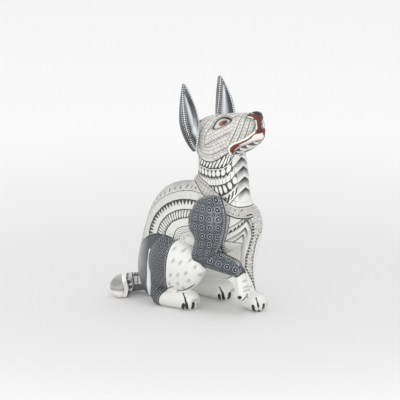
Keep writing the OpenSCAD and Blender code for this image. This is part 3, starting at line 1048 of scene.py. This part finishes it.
def face_paint(p):
    face = p.field("face")
    zone = face.below(0)
    under = p.keep()
    p.lay(zone, (210, 207, 202))
    # cheek rows that climb towards the muzzle
    wob = (p.noise(5.0, 1.0) - 0.5) * 1.4
    u = p.x * 0.87 + p.z * 0.49
    v = p.z * 0.87 - p.x * 0.49 + wob
    bricks(p, u, v, 3.3, 2.7, (0.36, (172, 160, 160)), (0.78, (84, 84, 86)))
    p.lay((v + 1.2).saw(10.8).below(0.32), SEAM)
    # muzzle rows run across it, in arcs
    lip = p.field("lip")
    lean = p.z - 164.0
    v = p.x - lean * 0.42 + lean * lean * 0.012 + wob * 0.5
    near = v.above(54.0) * p.z.above(155)
    hold = p.keep()
    p.lay(near, (208, 207, 201))
    bricks(p, p.z - p.x * 0.2, v, 2.9, 2.6, (0.36, (164, 164, 158)), (0.75, (80, 82, 84)))
    p.lay((v - 0.6).saw(5.2).below(0.3), SEAM)
    p.merge(hold, near)
    p.lay(lip.ramp(4.8, 1.4) * p.z.ramp(161, 170) * 0.7 * zone, (78, 98, 94))
    # rows at the back of the cheek follow its edge
    rim = face.above(-13.4) * p.x.below(37)
    hold = p.keep()
    p.lay(rim, (208, 207, 202))
    bricks(p, p.z, face + wob * 0.4, 3.2, 3.3, (0.3, (158, 156, 154)), (0.6, (84, 84, 86)))
    p.lay(face.line(0.5, -6.6).most(face.line(0.5, -13.2)), SEAM)
    p.merge(hold, rim)
    p.merge(under, zone)
    p.lay(face.line(1.0), INK)
    # eye
    eye = p.field("eye")
    p.lay(eye.below(0), (150, 148, 144))
    p.lay(eye.ramp(-0.5, -1.8), (198, 196, 190))
    ex = (p.x - 45.4) * 0.94 + (p.z - 172.9) * 0.34
    ez = (p.z - 172.9) * 0.94 - (p.x - 45.4) * 0.34
    iris = (ex * ex / 14.0 + ez * ez / 3.9).math("SQRT")
    p.lay(iris.ramp(1.5, 1.0) * 0.6, (90, 84, 80))
    p.lay(iris.below(1.0, 0.12), (40, 24, 22))
    p.lay(iris.below(0.80, 0.2), (98, 40, 38))
    p.lay(iris.below(0.80, 0.2) * ex.ramp(0.6, -2.4) * 0.8, (158, 110, 58))
    p.lay(iris.below(0.30, 0.2) * 0.8, (44, 20, 18))
    upper = eye.line(1.5, 0.1) * (p.z - p.x * 0.5).above(147.6)
    p.lay(eye.line(0.7) * 0.9, (60, 60, 62))
    p.lay(eye.line(0.5, 1.5) * (p.z - p.x * 0.5).above(149.0) * 0.7, SLATE)
    p.lay(upper, BLACK)
    # mouth, lips and nose
    mouth = p.field("mouth")
    p.lay(mouth.below(0), RED)
    p.lay(mouth.below(0) * p.y.line(1.4, 0, 1.0) * p.z.above(166) * 0.8, (40, 20, 18))
    p.lay(mouth.ramp(-0.9, -2.2) * 0.6, (60, 18, 16))
    p.lay(p.field("lower_lip").below(0, 0.4) * p.y.below(1.2, 0.3), (222, 219, 212))
    p.lay(mouth.line(0.5, 0.1) * 0.7, (70, 26, 22))
    wide = p.field("lip_run").ramp(5, 17) * 0.4 + 0.55
    p.lay((lip - wide).below(0), (232, 228, 214))
    p.lay((lip - wide).line(0.4, 0.2) * 0.6, (80, 72, 66))
    p.lay(p.field("nose").below(0), BLACK)


def wood_paint():
    """Bare turned wood: long grain, darker pores and year rings."""
    p = Paint("bare wood", (198, 162, 116))
    p.lay(p.noise(2.2, 3.0, 0.6, (1, 1, 0.12)).ramp(0.42, 0.66) * 0.6, (164, 124, 80))
    ring = (p.x + p.y * 0.6 + p.noise(9.0, 1.0) * 6.0).saw(2.2)
    p.lay(ring.below(0.3, 0.3) * 0.4, (150, 108, 66))
    p.lay(p.noise(0.6, 1.0, 0.5, (1, 1, 0.08), 12).ramp(0.6, 0.7) * 0.6, (124, 88, 54))
    return p.finish(roughness=0.6)


def brushed_dabs(p):
    """Soft grey dabs of a dry brush."""
    dab = p.field("dab") + (p.noise(0.6, 2.0, 0.6, (0.5, 1, 0.5)) - 0.5) * 2.0
    p.lay(dab.ramp(1.1, 0.4) * 0.6, (136, 139, 134))


def claws(p):
    p.lay(p.field("mark").below(0, 0.3), BLACK)


def ring_lattice(p, u, v, pitch):
    """Rings in rows, with fainter ones at the middle of each four, and a dot between."""
    du = u.saw(pitch)
    dv = v.saw(pitch)
    far = hypot(du, dv)
    eu = (u + pitch / 2).saw(pitch)
    ev = (v + pitch / 2).saw(pitch)
    near = hypot(eu, ev)
    p.lay(far.below(2.0), (18, 20, 24))
    p.lay(far.line(0.5, 2.45) * 0.75, (162, 168, 174))
    p.lay(far.below(0.7) * 0.8, (180, 186, 192))
    p.lay(near.below(1.5) * 0.7, (28, 31, 36))
    p.lay(near.line(0.42, 1.9) * 0.5, (150, 156, 162))
    p.lay(near.below(0.5) * 0.6, (158, 164, 170))
    mid = hypot(du, ev).least(hypot(eu, dv))
    p.lay(mid.below(0.75), (20, 22, 26))
    p.lay(mid.line(0.3, 1.1) * 0.4, (158, 164, 170))


def arm_paint():
    p = Paint("arm paint", (38, 42, 48))
    p.lay(p.noise(6.0, 2.0).ramp(0.5, 0.75) * 0.5, (78, 84, 91))
    # painted highlight: a soft pale patch high on the upper arm, where the light catches its gloss
    gx, gz = (p.x - 50.6) / 3.4, (p.z - 91.0) / 9.0
    p.lay((gx * gx + gz * gz).ramp(2.2, 0.0) * 0.6, (118, 124, 130))
    wob = p.noise(3.0, 1.0)
    u = p.field("ring_u") + (wob - 0.5) * 0.9
    v = p.field("ring_v") + (p.noise(3.0, 1.0, 0.5, None, 50) - 0.5) * 0.9
    ring_lattice(p, u, v, 7.9)
    rim = p.field("rim")
    run = p.field("rim_run")
    p.lay(rim.above(-1.4, 0.6), (54, 57, 62))
    dot = hypot(run.saw(1.9), rim + 0.3)
    upper = (p.z + (p.x - 50) * 0.6).above(56)
    p.lay(dot.below(0.52) * 0.9 * upper, (222, 226, 228))
    p.lay(rim.line(0.3, -1.6) * 0.55 * upper, (190, 194, 198))
    p.lay(rim.line(0.35, 1.2) * 0.5 * upper, (190, 194, 198))
    cuff = p.field("cuff")
    edge = cuff.line(0.55, -1.7)
    bead = ((p.z - p.x * 0.3).saw(1.9)).below(0.5, 0.2)
    p.lay(edge * bead * 0.5 * p.x.above(58), (190, 195, 198))
    p.lay(cuff.above(-0.7), (40, 42, 46))
    p.lay(cuff.above(0), WHITE)
    brushed_dabs(p)
    claws(p)
    return p.finish(roughness=0.4, coat=0.15)


def foreleg_paint():
    p = Paint("foreleg paint", WHITE)
    brushed_dabs(p)
    inner = p.field("band_in") + (p.noise(4.0, 1.0) - 0.5) * 0.6
    outer = p.field("band_out")
    zone = inner.above(0) * outer.above(0) * p.z.above(15)
    p.lay(zone, (202, 199, 196))
    p.lay(zone * stipple(p, 0.9, 0.52) * 0.85, (112, 111, 112))
    near = (p.z + 1.0).saw(2.7)
    p.lay(hypot(near, inner - 1.1).below(0.85) * zone, INK)
    p.lay(hypot(near, outer - 1.1).below(0.6) * zone, INK)
    p.lay(inner.line(0.7) * outer.above(0) * p.z.above(15) * 0.8, INK)
    p.lay(outer.line(0.7) * inner.above(0) * p.z.above(15) * 0.8, INK)
    claws(p)
    return p.finish()


def hindleg_paint():
    p = Paint("hindleg paint", WHITE)
    brushed_dabs(p)
    # painted shadow: dark lines in the creases where the thigh meets the foot
    p.lay(p.field("crease_shadow").below(0.42, 0.3), INK)
    thigh = p.field("thigh") + (p.noise(7.0, 1.0) - 0.5) * 0.8
    under = p.keep()
    p.lay(thigh.below(0), (44, 47, 52))
    p.lay(p.noise(4.0, 3.0).ramp(0.4, 0.7) * 0.6, (36, 38, 42))
    wob = (p.noise(3.0, 1.0) - 0.5) * 0.8
    a = (p.x + p.z) * 0.7071 + wob
    b = (p.x - p.z) * 0.7071 - wob
    net = a.saw(3.8).below(0.24, 0.3).most(b.saw(3.8).below(0.24, 0.3))
    p.lay(net * 0.65, (146, 152, 158))
    ca, cb = (a + 1.9).saw(3.8), (b + 1.9).saw(3.8)
    dot = hypot(ca, cb)
    p.lay(dot.below(1.2), (24, 26, 30))
    p.lay(dot.below(0.5) * 0.8, (160, 166, 172))
    p.lay(thigh.above(-1.6), (44, 47, 52))
    bead = p.z.saw(1.8).below(0.42, 0.3) * thigh.line(0.7, -1.7)
    p.lay(bead * 0.7, (190, 194, 196))
    p.lay(thigh.line(0.8, -0.3), INK)
    p.merge(under, thigh.below(0))
    claws(p)
    return p.finish(roughness=0.42, coat=0.1)


def ear_paint():
    """Dark airbrushed leaves with a pale middle, partly airbrushed paint and partly a painted highlight,
    and rows of white dots along the rims.
    """
    p = Paint("ear paint", (42, 45, 49))
    go = p.field("round") + (p.noise(12.0, 1.0) - 0.5) * 0.08
    airbrush_and_highlight = p.field("airbrush_and_highlight") + (p.noise(9.0, 1.0) - 0.5) * 0.25
    # the pale middle: partly airbrushed paint, partly a painted highlight down the ear's cup
    p.lay(airbrush_and_highlight.ramp(2.4, 1.0) * 0.55, (104, 108, 112))
    p.lay(airbrush_and_highlight.ramp(1.35, 0.15) * p.z.ramp(152, 164), (214, 218, 221))
    p.lay(p.z.ramp(192, 204) * 0.65, (116, 118, 120))
    p.lay(go.ramp(1.05, 1.6) * p.noise(18.0, 1.0).ramp(0.25, 0.6) * 0.6, (116, 119, 122))
    row = p.field("row")
    p.lay(row.line(2.2, 0, 0.6) * 0.5, (40, 42, 46))
    step = p.field("row_run").saw(1.9)
    dot = hypot(row, step)
    p.lay(dot.below(0.72) * 0.95, (224, 227, 229))
    beside = row - 1.8
    dot = hypot(beside, step)
    p.lay(dot.below(0.45) * 0.6, (206, 209, 212))
    step = p.z.saw(2.0)
    gap = (go - 0.04) * p.field("quarter")
    dot = hypot(gap, step)
    p.lay(dot.below(0.75) * 0.95, (224, 227, 229))
    return p.finish(roughness=0.36, coat=0.25)


def tail_paint():
    p = Paint("tail paint", WHITE)
    h = p.x * SLANT[0] + p.y * SLANT[1]
    bend = h + abs(p.z - 9.0) * 0.22
    # the stalk, with a dark striped back and boxes along its side
    p.lay(p.z.above(16.8), SLATE)
    p.lay(h.saw(2.2).below(0.4) * p.z.between(17.6, 19.4) * 0.8, WHITE)
    p.lay(p.z.line(0.6, 16.6), INK)
    box = (h + 1).saw(3.6).below(0.5) * p.z.between(10, 16)
    p.lay(box * 0.8, SLATE)
    p.lay(p.z.below(8.6), (122, 124, 124))
    p.lay(stipple(p, 0.9, 0.5) * p.z.below(8.6) * 0.7, SLATE)
    p.lay(p.z.line(0.7, 8.8), INK)
    # triangles beside the ring
    zone = bend.between(-59.0, -54.5)
    p.lay(zone, (206, 205, 200))
    p.lay(zone * teeth(p.z, bend + 59.0, 5.0, 4.0), SLATE)
    p.lay(bend.line(0.7, -54.5) * 0.9, INK)
    # the ring
    p.lay(bend.between(-63.6, -59.0), (240, 239, 234))
    p.lay(bend.line(0.6, -59.2), INK)
    # the tip
    tip = bend.below(-63.4)
    under = p.keep()
    p.lay(tip, (170, 170, 168))
    patch = ((p.x + 62) * (p.x + 62) / 60 + (p.z - 15.5) * (p.z - 15.5) / 18).math("SQRT")
    p.lay(patch.ramp(1.2, 0.5) * 0.6, (104, 106, 108))
    p.lay(p.z.below(8.2), (226, 225, 219))
    p.lay(p.z.line(0.5, 9.6).most(p.z.line(0.5, 7.8)) * 0.8, SLATE)
    p.lay(bend.line(0.5, -63.4), SLATE)
    p.merge(under, tip)
    return p.finish()


# ---------------------------------------------------------------- room


# the floor's colours: painted shade near the dog, painted light far from it
PAPER_SHADED_NEAR = (225, 225, 225)
PAPER_LIT_FAR = (251, 251, 251)


FLOOR_RADIUS = 4.2
FLOOR_CORNERS = 64


def floor():
    """A wide pale floor, a little brighter far from the dog: painted shade near it and painted light far
    off.
    """
    corner = []
    for i in range(FLOOR_CORNERS):
        turn = math.tau * i / FLOOR_CORNERS
        corner.append((FLOOR_RADIUS * math.cos(turn), FLOOR_RADIUS * math.sin(turn), 0))
    mesh = bpy.data.meshes.new("floor")
    mesh.from_pydata(corner, [], [tuple(range(FLOOR_CORNERS))])
    made = bpy.data.objects.new("floor", mesh)
    bpy.context.scene.collection.objects.link(made)
    paper = Paint("paper", PAPER_SHADED_NEAR)
    far = hypot(paper.x, paper.y)
    # painted light: the floor grows brighter away from the dog
    paper.lay(far.ramp(240, 800), PAPER_LIT_FAR)
    paper.tree.links.new(paper.colour, paper.shader.inputs["Base Color"])
    paper.shader.inputs["Roughness"].default_value = 0.9
    paper.shader.inputs["Specular IOR Level"].default_value = 0.1
    made.data.materials.append(paper.made)


def light(name, place, aim, size, power, shadow=True):
    data = bpy.data.lights.new(name, "AREA")
    data.shape = "DISK"
    data.size = size
    data.energy = power
    data.use_shadow = shadow
    made = bpy.data.objects.new(name, data)
    made.location = place
    made.rotation_euler = (Vector(aim) - Vector(place)).to_track_quat("-Z", "Y").to_euler()
    bpy.context.scene.collection.objects.link(made)


def room():
    world = bpy.data.worlds.new("studio")
    world.use_nodes = True
    world.node_tree.nodes["Background"].inputs["Color"].default_value = (1, 1, 1, 1)
    world.node_tree.nodes["Background"].inputs["Strength"].default_value = 0.9
    bpy.context.scene.world = world
    light("key", (0.9, -0.3, 1.6), (0, 0, 0.08), 0.9, 4)
    light("fill", (-0.6, -1.4, 0.9), (0, 0, 0.08), 1.2, 5, shadow=False)
    light("low", (1.25, -1.1, 0.22), (0, 0, 0.05), 1.0, 8, shadow=False)
    bpy.context.scene.view_settings.view_transform = "Standard"


def camera():
    turn = math.radians(40)
    tilt = math.radians(12)
    away = 4.5
    aim = Vector((0.0069, 0.0, 0.0954))
    back = Vector((math.sin(turn) * math.cos(tilt), -math.cos(turn) * math.cos(tilt), math.sin(tilt)))
    data = bpy.data.cameras.new("camera")
    data.lens = 450
    data.sensor_width = 36
    made = bpy.data.objects.new("camera", data)
    made.location = aim + back * away
    made.rotation_euler = (-back).to_track_quat("-Z", "Y").to_euler()
    bpy.context.scene.collection.objects.link(made)
    bpy.context.scene.camera = made


# ---------------------------------------------------------------- put together


def place(made, body, node, slot, material):
    made.data.materials.append(material)
    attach(made, body)
    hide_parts(node)


camera()
room()
floor()
body = body_solid()
place(torso_piece(body), "figure", "torso", "trunk_paint", trunk_paint())
place(head_piece(body), "figure", "head", "head_paint", head_paint())

place(arm_piece(), "figure", "foreleg_right", "arm_paint", arm_paint())
place(foreleg_piece(), "figure", "foreleg_left", "foreleg_left_paint", foreleg_paint())
hind = hindleg_paint()
ear = ear_paint()
for side_name in ("right", "left"):
    place(hindleg_piece(side_name), "figure", "hindleg_" + side_name, "hindleg_paint", hind)
    made = ear_piece("ear_" + side_name, "leaf_ear_" + side_name)
    place(made, "ear_" + side_name, "ear_" + side_name, "ear_paint", ear)
place(tail_piece(), "tail", "tail", "tail_paint", tail_paint())

wood = wood_paint()
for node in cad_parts.values():
    if not node.hide_render:
        for i in range(len(node.material_slots)):
            node.material_slots[i].material = wood
